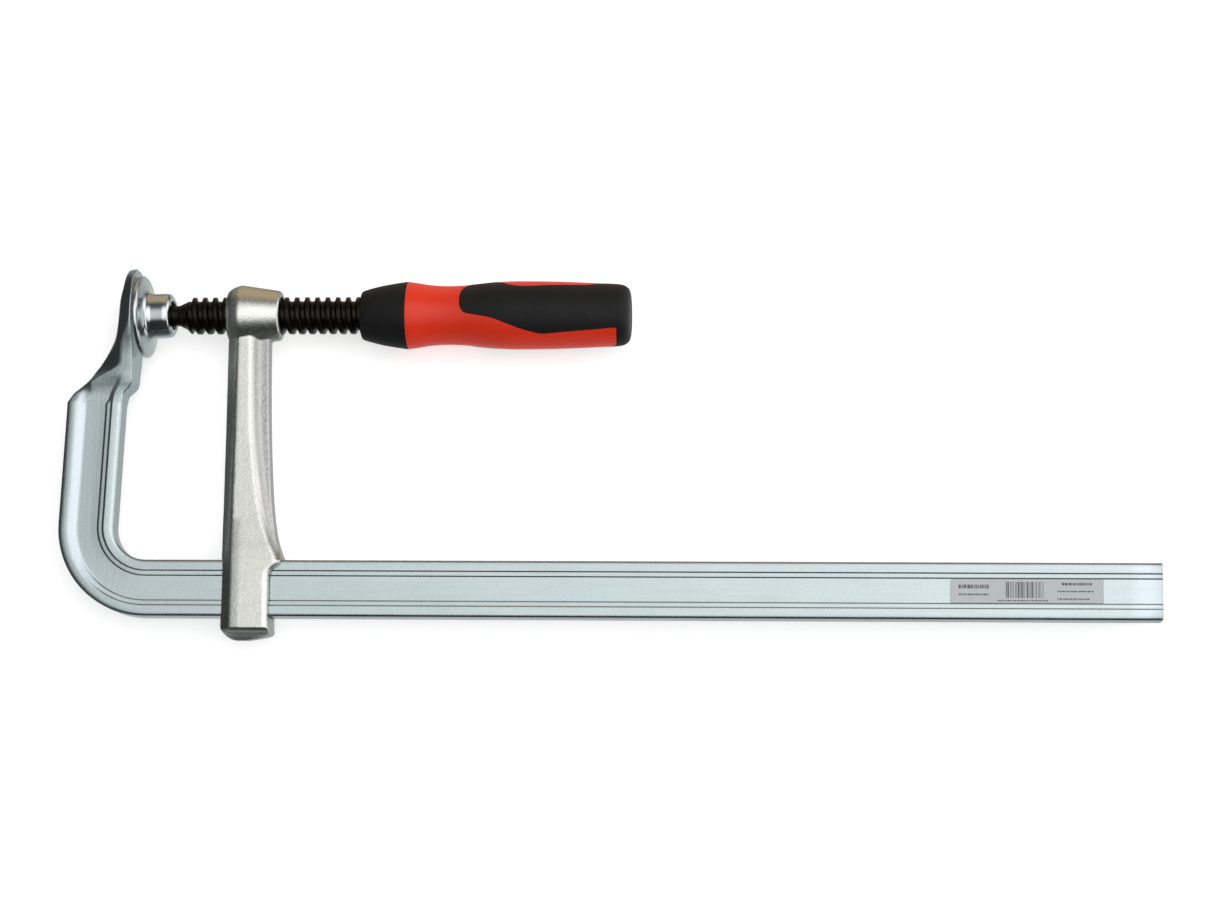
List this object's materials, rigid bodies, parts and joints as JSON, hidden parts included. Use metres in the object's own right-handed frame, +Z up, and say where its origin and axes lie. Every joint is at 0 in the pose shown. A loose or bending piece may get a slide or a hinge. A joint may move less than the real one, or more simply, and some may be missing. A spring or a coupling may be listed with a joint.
{
  "type": "f clamp",
  "caption": "All-steel F clamp with a fluted rail bent into the fixed jaw, a forged sliding arm, a trapezoidal screw, a swivelling pressure plate and a red and black barrel handle",
  "frame": {"origin": "centre of the fixed jaw's clamping face, on the spindle's axis", "axes": "+X along the rail and the spindle from the fixed jaw to the handle, +Y from the rail to the spindle, +Z up with the clamp lying on its side"},
  "size_m": [0.5252, 0.181, 0.04],
  "materials": {
    "zinc_plated_rail": "pale blue-grey zinc plating on a drawn steel section",
    "zinc_plated_forging": "zinc plating on a rough drop forging",
    "black_oxide_steel": "black oxide, lightly oiled",
    "bright_zinc": "bright zinc on a turned part",
    "spring_steel": "plain spring steel",
    "red_handle_plastic": "satin moulded plastic",
    "black_soft_grip": "matte soft-touch overmould",
    "label_foil": "printed silver-grey foil"
  },
  "bodies": {
    "frame": {"rail_and_fixed_jaw": "zinc_plated_rail", "rail_label": "label_foil"},
    "arm": {"sliding_arm": "zinc_plated_forging"},
    "swivel_ring": {"retaining_ring": "spring_steel"},
    "screw": {"spindle": "black_oxide_steel", "handle_core": "red_handle_plastic", "handle_front_collar": "black_soft_grip", "handle_grip": "black_soft_grip"},
    "plate": {"pressure_plate": "bright_zinc"}
  },
  "joints": [
    {"name": "arm_slide", "type": "slide", "parent": "frame", "child": "arm", "axis": [1, 0, 0], "range_m": [0, 0.4]},
    {"name": "screw_feed", "type": "slide", "parent": "arm", "child": "swivel_ring", "axis": [1, 0, 0], "range_m": [0, 0.025]},
    {"name": "spindle_turn", "type": "hinge", "parent": "swivel_ring", "child": "screw", "pos_m": [0.0116, 0, 0], "axis": [1, 0, 0], "range_deg": [0, 1801]},
    {"name": "plate_tilt", "type": "hinge", "parent": "swivel_ring", "child": "plate", "pos_m": [0.0116, 0, 0], "axis": [0, 0, 1], "range_deg": [-5, 1]}
  ],
  "couplings": [
    {"joint": "spindle_turn", "follows": "screw_feed", "rad_per_m": 1256.6}
  ]
}
